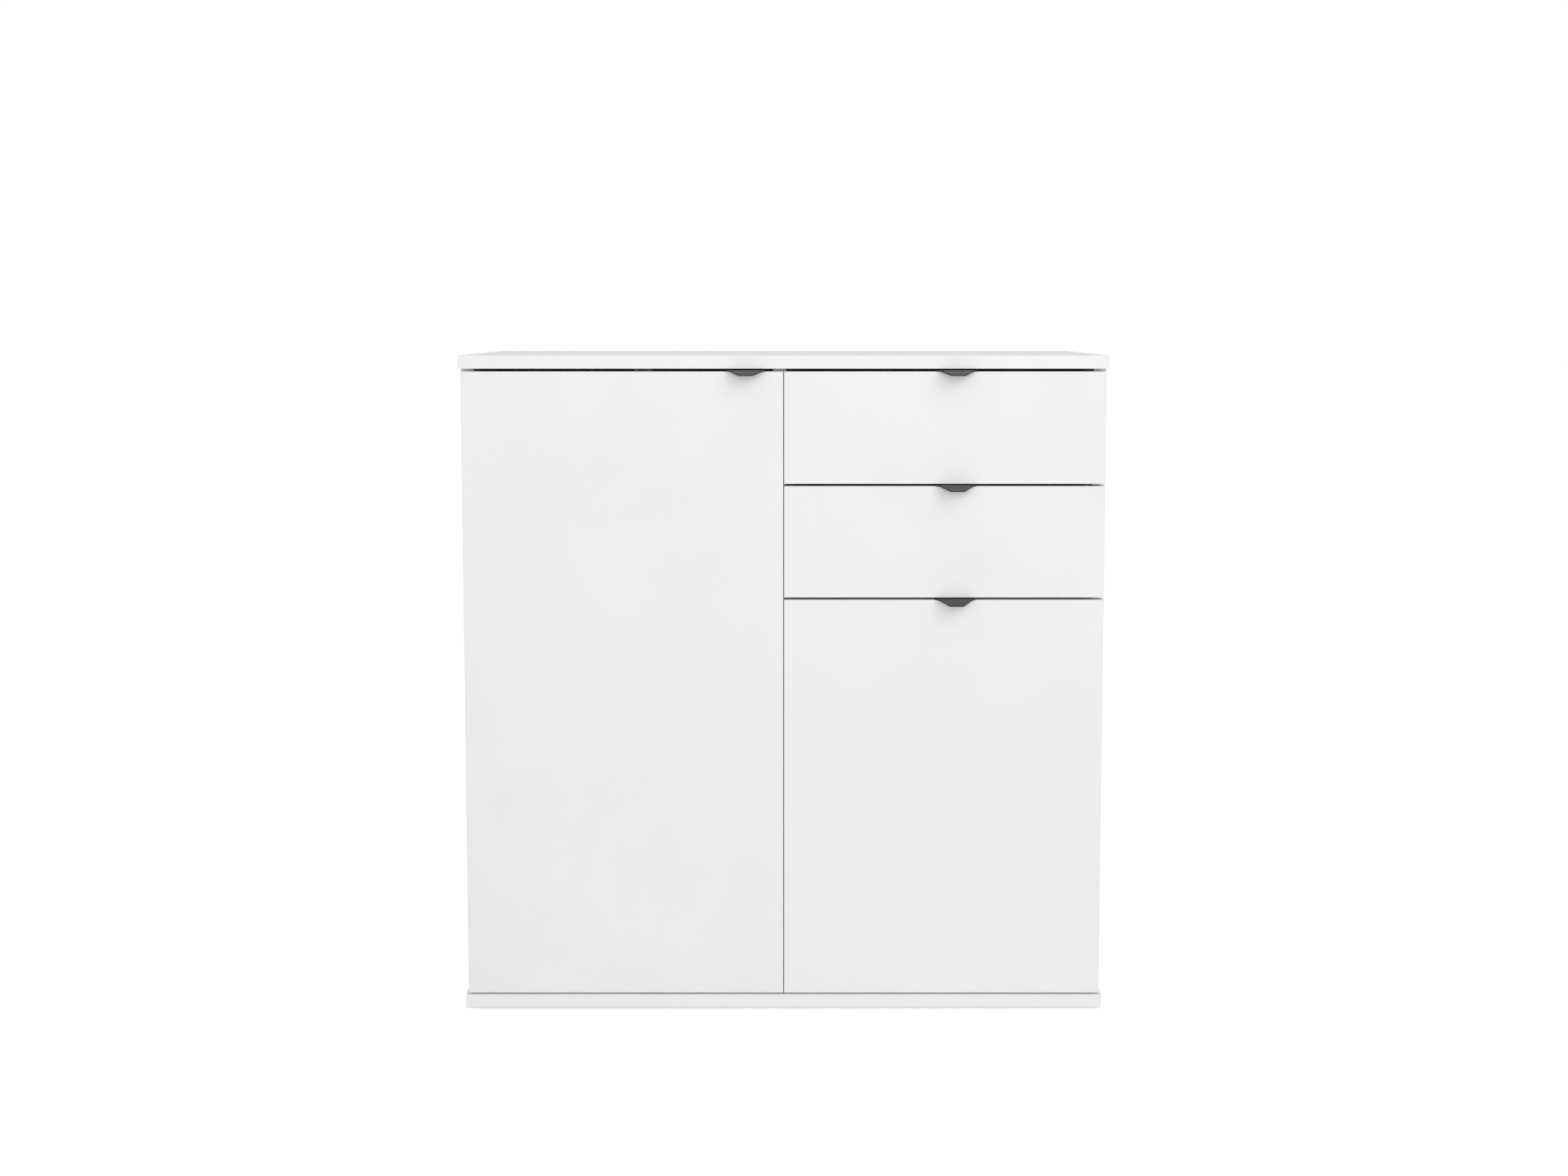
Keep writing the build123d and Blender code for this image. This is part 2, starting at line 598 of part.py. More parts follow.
with BuildPart() as right_side_panel:
    upright("right_side_panel")
    drill(RIGHT_SIDE_PINS, RIGHT, PIN_RADIUS, PIN_IN_SIDE)
    drill(plate_screw_points("right"), RIGHT, SCREW_RADIUS, SCREW_LENGTH)
    drill_board_face(SIDE_BOLTS, SIDE_DOWELS, LEFT)
    for drawer in DRAWERS:
        drill(fixed_screw_points(drawer, "right"), RIGHT, SCREW_RADIUS, SCREW_LENGTH)
save(right_side_panel, "right_side_panel")

with BuildPart() as centre_divider:
    upright("centre_divider")
    drill(DIVIDER_LEFT_PINS, RIGHT, PIN_RADIUS, PIN_IN_DIVIDER)
    drill(DIVIDER_RIGHT_PINS, LEFT, PIN_RADIUS, PIN_IN_DIVIDER)
    drill_board_face(DIVIDER_BOLTS, DIVIDER_DOWELS, RIGHT)
    for drawer in DRAWERS:
        drill(fixed_screw_points(drawer, "left"), LEFT, SCREW_RADIUS, SCREW_LENGTH)
save(centre_divider, "centre_divider")

with BuildPart() as drawer_shelf:
    block((DIVIDER_RIGHT, INNER), (EDGE_Y, SHEET_Y), (FIXED_SHELF_LOW, FIXED_SHELF_TOP))
    drill_board_end(DIVIDER_BOLTS, DIVIDER_DOWELS, RIGHT)
    drill_board_end(SIDE_BOLTS, SIDE_DOWELS, LEFT)
    for x in (DIVIDER_RIGHT + CAM_SETBACK, INNER - CAM_SETBACK):
        drill([(x, y, FIXED_SHELF_LOW) for y in CAM_ROWS], UP, CAM_RADIUS, CAM_DEPTH)
    drill(SHELF_NAILS, FORWARD, NAIL_RADIUS, NAIL_LENGTH)
save(drawer_shelf, "drawer_shelf")

for shelf_name, underside in zip(("left_lower_shelf", "left_upper_shelf"), LEFT_SHELF_HEIGHTS):
    with BuildPart() as left_shelf:
        loose_shelf((-INNER, DIVIDER_LEFT), underside)
        soften(left_shelf)
    save(left_shelf, shelf_name)

with BuildPart() as right_shelf:
    loose_shelf((DIVIDER_RIGHT, INNER), RIGHT_SHELF_HEIGHT)
    soften(right_shelf)
save(right_shelf, "right_shelf")


def shelf_pin_set(points, outward, in_wood):
    """Pins that lie partly in the wall and partly under the shelf."""
    starts = moved(points, outward, HOLE_END_CLEAR - in_wood)
    pegs(starts, outward, PIN_RADIUS, in_wood - HOLE_END_CLEAR + PIN_OUT)


with BuildPart() as shelf_pins:
    shelf_pin_set(LEFT_SIDE_PINS, RIGHT, PIN_IN_SIDE)
    shelf_pin_set(DIVIDER_LEFT_PINS, LEFT, PIN_IN_DIVIDER)
    shelf_pin_set(DIVIDER_RIGHT_PINS, RIGHT, PIN_IN_DIVIDER)
    shelf_pin_set(RIGHT_SIDE_PINS, LEFT, PIN_IN_SIDE)
save(shelf_pins, "shelf_pins")

with BuildPart() as back_panel:
    block((-HALF, HALF), (SHEET_Y, REAR_Y), (BASE_TOP + BACK_CLEAR, TOP_UNDER - BACK_CLEAR))
    fold_x = (DIVIDER_MID_X - FOLD_WIDTH / 2, DIVIDER_MID_X + FOLD_WIDTH / 2)
    block(fold_x, (REAR_Y - FOLD_DEPTH, REAR_Y), (BASE_TOP, TOP_UNDER), mode=Mode.SUBTRACT)
    drill(ALL_NAILS, FORWARD, NAIL_RADIUS, BACK_SHEET)
    drill(ALL_NAILS, FORWARD, NAIL_HEAD_RADIUS, NAIL_HEAD)
    drill([BRACKET_HOLE], BACK, BACK_HOLE_RADIUS, BACK_SHEET)
save(back_panel, "back_panel")

# ---- carcass fittings ---------------------------------------------------------------------
with BuildPart() as back_nails:
    pegs(ALL_NAILS, FORWARD, NAIL_RADIUS, NAIL_LENGTH - HOLE_END_CLEAR)
    pegs(ALL_NAILS, FORWARD, NAIL_HEAD_RADIUS, NAIL_HEAD)
save(back_nails, "back_nails")

with BuildPart() as cam_bolts:
    for points, direction in BOLT_SETS:
        pegs(points, opposite(direction), BOLT_THREAD_RADIUS, BOLT_THREAD_LENGTH - HOLE_END_CLEAR)
        pegs(points, direction, BOLT_SHANK_RADIUS, CAM_SETBACK)
        head_starts = moved(points, direction, CAM_SETBACK - BOLT_HEAD)
        pegs(head_starts, direction, BOLT_HEAD_RADIUS, BOLT_HEAD)
save(cam_bolts, "cam_bolts")


def cam_lock_places():
    """Each cam lock: centre on the face it is let into, the way into the wood, the bolt's way."""
    places = []
    for mid_x, way in UPRIGHTS.values():
        face = mid_x + way * BOARD / 2
        for z, direction in ((TOP_UNDER, DOWN), (BASE_TOP, UP)):
            centre_z = z + direction[2] * CAM_SETBACK
            places += [((face, y, centre_z), (-way, 0, 0), direction) for y in CAM_ROWS]
    for x, direction in ((DIVIDER_RIGHT + CAM_SETBACK, RIGHT), (INNER - CAM_SETBACK, LEFT)):
        places += [((x, y, FIXED_SHELF_LOW), UP, direction) for y in CAM_ROWS]
    return places


with BuildPart() as cam_locks:
    for centre, into_wood, bolt_way in cam_lock_places():
        pegs([centre], into_wood, CAM_RADIUS, CAM_DEPTH)
        mid_board = moved([centre], into_wood, BOARD / 2)
        mouth = moved(mid_board, bolt_way, -CAM_MOUTH_START)
        pegs(mouth, bolt_way, CAM_MOUTH_RADIUS, CAM_MOUTH_LENGTH, mode=Mode.SUBTRACT)
        with Locations(Plane(origin=centre, z_dir=into_wood)):
            Box(CAM_CROSS_WIDTH, CAM_CROSS_LENGTH, 2 * CAM_CROSS_DEPTH, mode=Mode.SUBTRACT)
            Box(CAM_CROSS_LENGTH, CAM_CROSS_WIDTH, 2 * CAM_CROSS_DEPTH, mode=Mode.SUBTRACT)
save(cam_locks, "cam_locks")

with BuildPart() as dowels:
    for points, direction in DOWEL_SETS:
        starts = moved(points, direction, HOLE_END_CLEAR - DOWEL_DEPTH)
        pegs(starts, direction, DOWEL_RADIUS, DOWEL_DEPTH + DOWEL_OUT - 2 * HOLE_END_CLEAR)
save(dowels, "dowels")

with BuildPart() as floor_glides:
    pegs(GLIDE_POINTS, DOWN, GLIDE_RADIUS, GLIDE)
    chamfer(floor_glides.faces().group_by(Axis.Z)[0].edges(), length=GLIDE_CHAMFER)
    pegs(GLIDE_POINTS, UP, GLIDE_NAIL_RADIUS, GLIDE_NAIL - HOLE_END_CLEAR)
save(floor_glides, "floor_glides")

with BuildPart() as wall_bracket:
    bracket_x = (LEFT_MID_X - BRACKET_WIDTH / 2, LEFT_MID_X + BRACKET_WIDTH / 2)
    block(bracket_x, (SHEET_Y - BRACKET_LEG, SHEET_Y), (TOP_UNDER - BRACKET_SHEET, TOP_UNDER))
    block(bracket_x, (SHEET_Y - BRACKET_SHEET, SHEET_Y), (TOP_UNDER - BRACKET_LEG, TOP_UNDER))
    pegs([BRACKET_HOLE], FORWARD, BRACKET_HOLE_RADIUS, BRACKET_SHEET, mode=Mode.SUBTRACT)
    drill(BRACKET_SCREW_POINTS, UP, SCREW_RADIUS, BRACKET_SHEET)
save(wall_bracket, "wall_bracket")

with BuildPart() as door_bumpers:
    pegs(BUMPER_POINTS, FORWARD, BUMPER_RADIUS, BUMPER_HEIGHT)
    chamfer(door_bumpers.faces().group_by(Axis.Y)[0].edges(), length=BUMPER_CHAMFER)
save(door_bumpers, "door_bumpers")

with BuildPart() as carcass_screws:
    for door, data in DOORS.items():
        screws(plate_screw_points(door), (-data["way"], 0, 0))
    for drawer in DRAWERS:
        for side in RUNNER_WALLS:
            screws(fixed_screw_points(drawer, side), opposite(into_bay(side)))
    screws(BRACKET_SCREW_POINTS, UP)
save(carcass_screws, "carcass_screws")


# ---- hinges: mounting plates, gooseneck arms and pins on the carcass ----------------------
def hinge_plate(door, z):
    """One mounting plate: two screwed wings and the rib that the arm straddles."""
    wing_forward = (PLATE_CENTRE - PLATE_WING, PLATE_CENTRE + PLATE_WING)
    hinge_block(door, (0, PLATE_SHEET), wing_forward, (z - PLATE_WING_HALF, z + PLATE_WING_HALF))
    hinge_block(door, (0, PLATE_RIB), (ARM_REAR, PLATE_NOSE), (z - PLATE_RIB_HALF, z + PLATE_RIB_HALF))


def neck_outline(door):
    """The gooseneck's outline: level over the pin, a quarter turn, then back into the cabinet."""
    turn_forward = NECK_LOW - NECK_TURN_RADIUS
    outer_radius = NECK_TURN_RADIUS + ARM_SHEET
    neck_high = NECK_LOW + ARM_SHEET

    def at(inward, forward):
        return (hinge_x(door, inward), hinge_y(forward))

    def mid_turn(radius):
        reach = radius * math.sqrt(0.5)
        return at(NECK_TURN_INWARD + reach, turn_forward + reach)

    inner_bend = at(NECK_TURN_INWARD, NECK_LOW)
    inner_end = at(ARM_INWARD[0], turn_forward)
    outer_bend = at(NECK_TURN_INWARD, neck_high)
    outer_end = at(ARM_INWARD[1], turn_forward)
    Line(at(PIVOT_INWARD, NECK_LOW), inner_bend)
    ThreePointArc(inner_bend, mid_turn(NECK_TURN_RADIUS), inner_end)
    Line(inner_end, at(ARM_INWARD[0], ARM_NOSE))
    Line(at(ARM_INWARD[0], ARM_NOSE), at(ARM_INWARD[1], ARM_NOSE))
    Line(at(ARM_INWARD[1], ARM_NOSE), outer_end)
    ThreePointArc(outer_end, mid_turn(outer_radius), outer_bend)
    Line(outer_bend, at(PIVOT_INWARD, neck_high))
    Line(at(PIVOT_INWARD, neck_high), at(PIVOT_INWARD, NECK_LOW))


def hinge_arm(door, z):
    """One arm: a U-shaped rear over the mounting plate, a gooseneck and the pin knuckle."""
    hinge_block(door, ARM_INWARD, (ARM_REAR, ARM_NOSE), (z - ARM_HALF, z + ARM_HALF))
    for low in (z - ARM_HALF, z + ARM_HALF - ARM_SHEET):
        hinge_block(door, (CHEEK_INWARD, ARM_INWARD[1]), (ARM_REAR, CHEEK_NOSE), (low, low + ARM_SHEET))
    with BuildSketch(Plane.XY.offset(z - KNUCKLE_HALF)) as neck:
        with BuildLine():
            neck_outline(door)
        make_face()
        with Locations((hinge_x(door, PIVOT_INWARD), hinge_y(PIVOT_FORWARD))):
            Circle(KNUCKLE_RADIUS)
    extrude(neck.sketch, amount=2 * KNUCKLE_HALF)
    pin_start = (hinge_x(door, PIVOT_INWARD), hinge_y(PIVOT_FORWARD), z - KNUCKLE_HALF)
    pegs([pin_start], UP, HINGE_PIN_RADIUS, 2 * KNUCKLE_HALF, mode=Mode.SUBTRACT)


for door, data in DOORS.items():
    with BuildPart() as hinge_plates:
        for z in hinge_heights(door):
            hinge_plate(door, z)
        off_wall = (data["way"], 0, 0)
        holes = moved(plate_screw_points(door), off_wall, -PLATE_SHEET)
        drill(holes, off_wall, SCREW_RADIUS, PLATE_SHEET)
    save(hinge_plates, f"{door}_hinge_plates")

    with BuildPart() as hinge_arms:
        for z in hinge_heights(door):
            hinge_arm(door, z)
    save(hinge_arms, f"{door}_hinge_arms")

with BuildPart() as hinge_pins:
    for door in DOORS:
        x = hinge_x(door, PIVOT_INWARD)
        starts = [(x, hinge_y(PIVOT_FORWARD), z - HINGE_PIN_HALF) for z in hinge_heights(door)]
        pegs(starts, UP, HINGE_PIN_RADIUS, 2 * HINGE_PIN_HALF)
save(hinge_pins, "hinge_pins")


# ---- doors, their grips and their hinge cups ----------------------------------------------
def edge_grip(grip_x, top):
    """A folded sheet grip: back leg, plate over the panel's edge and a tapering, falling lip."""
    left = grip_x - GRIP_WIDTH / 2
    right = grip_x + GRIP_WIDTH / 2
    leg_y = PANEL_BACK_Y + GRIP_SHEET
    slope_y = PANEL_FRONT_Y - GRIP_BEND
    tip_y = PANEL_FRONT_Y - GRIP_REACH
    fold_points = (
        (leg_y, top - GRIP_FLANGE),
        (leg_y, top + GRIP_SHEET),
        (slope_y, top + GRIP_SHEET),
        (tip_y, top - GRIP_DROP + GRIP_SHEET),
        (tip_y, top - GRIP_DROP),
        (slope_y, top),
        (PANEL_BACK_Y, top),
        (PANEL_BACK_Y, top - GRIP_FLANGE),
    )
    taper_points = (
        (left, leg_y),
        (left, PANEL_FRONT_Y),
        (grip_x - GRIP_TIP_WIDTH / 2, tip_y),
        (grip_x + GRIP_TIP_WIDTH / 2, tip_y),
        (right, PANEL_FRONT_Y),
        (right, leg_y),
    )
    with BuildSketch(Plane.YZ.offset(left)) as fold:
        with BuildLine():
            Polyline(*fold_points, close=True)
        make_face()
    extrude(fold.sketch, amount=GRIP_WIDTH)
    with BuildSketch(Plane.XY.offset(top - GRIP_FLANGE)) as taper:
        with BuildLine():
            Polyline(*taper_points, close=True)
        make_face()
    extrude(taper.sketch, amount=GRIP_FLANGE + 2 * GRIP_SHEET, mode=Mode.INTERSECT)
    heads = grip_screw_points(grip_x, top)
    drill(heads, FORWARD, SCREW_RADIUS, GRIP_SHEET)
    flush_heads(heads, FORWARD, JOINT_RADIAL_CLEAR, mode=Mode.SUBTRACT)


def hinge_cup(door, z):
    """One pressed cup: a flange, its screw wings, and two ears that carry the pin."""
    centre = [(hinge_x(door, CUP_CENTRE_INWARD), PANEL_BACK_Y, z)]
    wing = [CUP_CENTRE_INWARD + offset for offset in CUP_WING]
    hinge_block(door, wing, (FRONT_GAP - CUP_FLANGE, FRONT_GAP), (z - CUP_WING_HALF, z + CUP_WING_HALF))
    pegs(centre, BACK, CUP_RADIUS + CUP_RIM, CUP_FLANGE)
    pegs(centre, FORWARD, CUP_RADIUS, CUP_DEPTH)
    hollow = CUP_FLANGE + CUP_DEPTH - CUP_FLOOR
    mouth = moved(centre, BACK, CUP_FLANGE)
    pegs(mouth, FORWARD, CUP_RADIUS - CUP_WALL, hollow, mode=Mode.SUBTRACT)
    ear_forward = (EAR_FORWARD, FRONT_GAP + CUP_DEPTH - CUP_FLOOR / 2)
    for way in (-1, 1):
        near = z + way * (KNUCKLE_HALF + EAR_GAP)
        hinge_block(door, EAR_INWARD, ear_forward, span(near, near + way * EAR_THICK))
    hole_half = HINGE_PIN_HALF + HOLE_END_CLEAR
    pin_hole = [(hinge_x(door, PIVOT_INWARD), hinge_y(PIVOT_FORWARD), z - hole_half)]
    drill(pin_hole, UP, HINGE_PIN_RADIUS, 2 * hole_half)


for door, data in DOORS.items():
    low, high = data["z"]
    hinge_edge_x = -data["way"] * FRONT_EDGE_X
    grip_screws = grip_screw_points(data["grip_x"], high)
    with BuildPart() as door_panel:
        block(span(hinge_edge_x, data["free_x"]), (PANEL_FRONT_Y, PANEL_BACK_Y), (low, high))
        soften(door_panel)
        drill(cup_centres(door), FORWARD, CUP_RADIUS, CUP_DEPTH)
        drill(cup_screw_points(door), FORWARD, SCREW_RADIUS, SCREW_LENGTH)
        drill(grip_screws, FORWARD, SCREW_RADIUS, SCREW_LENGTH)
    save(door_panel, f"{door}_door")

    with BuildPart() as door_grip:
        edge_grip(data["grip_x"], high)
    save(door_grip, f"{door}_door_grip")

    with BuildPart() as hinge_cups:
        for z in hinge_heights(door):
            hinge_cup(door, z)
        drill(cup_screw_points(door), FORWARD, SCREW_RADIUS, CUP_FLANGE)
    save(hinge_cups, f"{door}_hinge_cups")

    with BuildPart() as door_screws:
        screws(cup_screw_points(door), FORWARD)
        flush_screws(grip_screws, FORWARD)
    save(door_screws, f"{door}_door_screws")


# ---- drawers and their runners ------------------------------------------------------------
def box_side(drawer, side):
    """One side of a drawer box, grooved for the bottom sheet and drilled for its fixings."""
    levels = box_heights(drawer)
    outer = across(side, RUNNER_SPACE)
    inner = across(side, RUNNER_SPACE + BOX_BOARD)
    groove = across(side, RUNNER_SPACE + BOX_BOARD - GROOVE_DEPTH)
    y_span = (PANEL_BACK_Y, BOX_REAR_Y)
    block(span(outer, inner), y_span, levels["side"])
    block(span(groove, inner), y_span, levels["groove"], mode=Mode.SUBTRACT)
    way = into_bay(side)
    drill(confirmat_points(drawer, side), way, CONFIRMAT_RADIUS, BOX_BOARD)
    drill(confirmat_points(drawer, side), way, CONFIRMAT_HEAD_RADIUS, CONFIRMAT_HEAD)
    drill(front_peg_points(drawer, side), BACK, DOWEL_RADIUS, DOWEL_OUT)
    drill(moving_screw_points(drawer, side), way, SCREW_RADIUS, SCREW_LENGTH)


def riveted_axle(start, way, length):
    """A roller's axle with its flattened head."""
    pegs(start, way, AXLE_RADIUS, length)
    pegs(moved(start, way, length), way, AXLE_HEAD_RADIUS, AXLE_HEAD)


def cabinet_runner(drawer, side):
    """Fixed member: web on the wall, channel for the drawer's roller, axle for its own."""
    low = flange_low(drawer)
    roller_z = fixed_roller_z(drawer)
    channel = (low - CHANNEL_DROP, low - CHANNEL_DROP + CHANNEL_HEIGHT)
    web_heights = (channel[0] - RUNNER_SHEET, channel[1] + RUNNER_SHEET)
    floor_start = FIXED_ROLLER_Y + ROLLER_RADIUS + CHANNEL_BEHIND_ROLLER
    full_length = (RUNNER_FRONT_Y, RUNNER_REAR_Y)
    web = (0, RUNNER_SHEET)
    flange = (0, RUNNER_FLANGE_END)
    runner_block(side, web, full_length, web_heights)
    runner_block(side, web, (RUNNER_FRONT_Y, floor_start), (roller_z - NOSE_DROP, channel[1]))
    runner_block(side, flange, (floor_start, RUNNER_REAR_Y), (web_heights[0], channel[0]))
    runner_block(side, flange, full_length, (channel[1], web_heights[1]))
    runner_block(side, flange, (RUNNER_REAR_Y - RUNNER_SHEET, RUNNER_REAR_Y), channel)
    way = into_bay(side)
    axle_start = [(across(side, 0), FIXED_ROLLER_Y, roller_z)]
    riveted_axle(axle_start, way, FIXED_ROLLER_END + AXLE_HEAD_GAP)
    holes = moved(fixed_screw_points(drawer, side), way, -RUNNER_SHEET)
    drill(holes, way, SCREW_RADIUS, RUNNER_SHEET)


def drawer_runner(drawer, side):
    """Moving member: web on the box side, lip under it, flange over the rollers, rear axle."""
    low = flange_low(drawer)
    start_y = PANEL_BACK_Y + MEMBER_START
    sheet = (low, low + RUNNER_SHEET)
    web = (RUNNER_SPACE - RUNNER_SHEET, RUNNER_SPACE)
    lip = (RUNNER_SPACE, RUNNER_SPACE + BOX_BOARD)
    flange_end = MOVING_ROLLER_Y - ROLLER_RADIUS - MEMBER_BEFORE_ROLLER
    runner_block(side, web, (start_y, BOX_REAR_Y), (low, low + MEMBER_WEB))
    runner_block(side, lip, (start_y, BOX_REAR_Y), sheet)
    runner_block(side, (MEMBER_FLANGE_START, RUNNER_SPACE), (start_y, flange_end), sheet)
    way = into_bay(side)
    axle_start = [(across(side, RUNNER_SPACE), MOVING_ROLLER_Y, moving_roller_z(drawer))]
    riveted_axle(axle_start, opposite(way), RUNNER_SPACE - MOVING_ROLLER_START + AXLE_HEAD_GAP)
    drill(moving_screw_points(drawer, side), way, SCREW_RADIUS, RUNNER_SHEET)


def roller_pair(y, z, distances):
    """Two nylon rollers on one line, one in each runner space of a drawer."""
    width = distances[1] - distances[0]
    for side in RUNNER_WALLS:
        start = [(across(side, distances[0]), y, z)]
        pegs(start, into_bay(side), ROLLER_RADIUS, width)
        pegs(start, into_bay(side), AXLE_RADIUS + ROLLER_PLAY, width, mode=Mode.SUBTRACT)


for drawer, (low, high) in DRAWERS.items():
    levels = box_heights(drawer)
    grip_screws = grip_screw_points(RIGHT_GRIP_X, high)
    groove_x = (BOX_LEFT + BOX_BOARD - GROOVE_DEPTH, BOX_RIGHT - BOX_BOARD + GROOVE_DEPTH)
    with BuildPart() as drawer_front:
        block((CENTRE_GAP / 2, FRONT_EDGE_X), (PANEL_FRONT_Y, PANEL_BACK_Y), (low, high))
        soften(drawer_front)
        groove_y = (PANEL_BACK_Y - GROOVE_DEPTH, PANEL_BACK_Y)
        block(groove_x, groove_y, levels["groove"], mode=Mode.SUBTRACT)
        for side in RUNNER_WALLS:
            drill(front_peg_points(drawer, side), FORWARD, DOWEL_RADIUS, FRONT_PEG_DEPTH)
        drill(grip_screws, FORWARD, SCREW_RADIUS, SCREW_LENGTH)
    save(drawer_front, f"{drawer}_drawer_front")

    with BuildPart() as drawer_grip:
        edge_grip(RIGHT_GRIP_X, high)
    save(drawer_grip, f"{drawer}_drawer_grip")

    for side in RUNNER_WALLS:
        with BuildPart() as drawer_side:
            box_side(drawer, side)
        save(drawer_side, f"{drawer}_drawer_{side}_side")

        with BuildPart() as fixed_member:
            cabinet_runner(drawer, side)
        save(fixed_member, f"{drawer}_cabinet_runner_{side}")

        with BuildPart() as moving_member:
            drawer_runner(drawer, side)
        save(moving_member, f"{drawer}_drawer_runner_{side}")

    with BuildPart() as drawer_rear:
        rear_x = (BOX_LEFT + BOX_BOARD, BOX_RIGHT - BOX_BOARD)
        block(rear_x, (BOX_REAR_Y - BOX_BOARD, BOX_REAR_Y), levels["rear"])
        for side in RUNNER_WALLS:
            drill(confirmat_points(drawer, side), into_bay(side), CONFIRMAT_RADIUS, CONFIRMAT_LENGTH)
    save(drawer_rear, f"{drawer}_drawer_rear")

    with BuildPart() as drawer_bottom:
        bottom_x = (groove_x[0] + GROOVE_CLEAR, groove_x[1] - GROOVE_CLEAR)
        bottom_y = (PANEL_BACK_Y - GROOVE_DEPTH + GROOVE_CLEAR, BOX_REAR_Y)
        block(bottom_x, bottom_y, levels["sheet"])
    save(drawer_bottom, f"{drawer}_drawer_bottom")

    with BuildPart() as box_fixings:
        for side in RUNNER_WALLS:
            screw_heads = confirmat_points(drawer, side)
            way = into_bay(side)
            pegs(screw_heads, way, CONFIRMAT_RADIUS, CONFIRMAT_LENGTH - HOLE_END_CLEAR)
            pegs(screw_heads, way, CONFIRMAT_HEAD_RADIUS, CONFIRMAT_HEAD)
            peg_depth = FRONT_PEG_DEPTH - HOLE_END_CLEAR
            starts = moved(front_peg_points(drawer, side), FORWARD, peg_depth)
            pegs(starts, BACK, DOWEL_RADIUS, peg_depth + DOWEL_OUT - HOLE_END_CLEAR)
    save(box_fixings, f"{drawer}_drawer_fixings")

    with BuildPart() as drawer_screws:
        flush_screws(grip_screws, FORWARD)
        for side in RUNNER_WALLS:
            screws(moving_screw_points(drawer, side), into_bay(side))
    save(drawer_screws, f"{drawer}_drawer_screws")

    with BuildPart() as fixed_rollers:
        distances = (FIXED_ROLLER_START, FIXED_ROLLER_END)
        roller_pair(FIXED_ROLLER_Y, fixed_roller_z(drawer), distances)
    save(fixed_rollers, f"{drawer}_cabinet_rollers")

    with BuildPart() as moving_rollers:
        distances = (MOVING_ROLLER_START, MOVING_ROLLER_END)
        roller_pair(MOVING_ROLLER_Y, moving_roller_z(drawer), distances)
    save(moving_rollers, f"{drawer}_drawer_rollers")
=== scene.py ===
import json
import math

import bpy
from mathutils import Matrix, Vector


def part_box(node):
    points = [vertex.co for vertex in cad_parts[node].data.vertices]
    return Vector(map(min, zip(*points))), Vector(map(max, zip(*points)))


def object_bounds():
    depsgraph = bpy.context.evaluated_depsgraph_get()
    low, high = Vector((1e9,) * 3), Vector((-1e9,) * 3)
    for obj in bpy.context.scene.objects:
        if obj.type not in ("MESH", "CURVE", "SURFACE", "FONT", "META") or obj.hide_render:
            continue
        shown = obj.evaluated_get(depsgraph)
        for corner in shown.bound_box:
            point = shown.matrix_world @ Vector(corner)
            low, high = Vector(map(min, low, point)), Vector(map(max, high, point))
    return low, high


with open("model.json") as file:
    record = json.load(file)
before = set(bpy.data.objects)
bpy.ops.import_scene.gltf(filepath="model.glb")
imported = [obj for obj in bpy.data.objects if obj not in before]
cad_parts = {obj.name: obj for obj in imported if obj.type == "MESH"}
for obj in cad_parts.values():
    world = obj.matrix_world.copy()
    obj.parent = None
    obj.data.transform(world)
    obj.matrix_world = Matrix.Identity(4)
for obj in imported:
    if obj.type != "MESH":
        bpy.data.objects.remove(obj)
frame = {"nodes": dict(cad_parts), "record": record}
CAD_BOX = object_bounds()
RECORD = frame["record"]
SLOTS = {part["node"]: part["material_slot"] for part in RECORD["subparts"]}
MM = 0.001
NOISE_SPREAD = (0.3, 0.7)    # nearly all noise values lie in this range


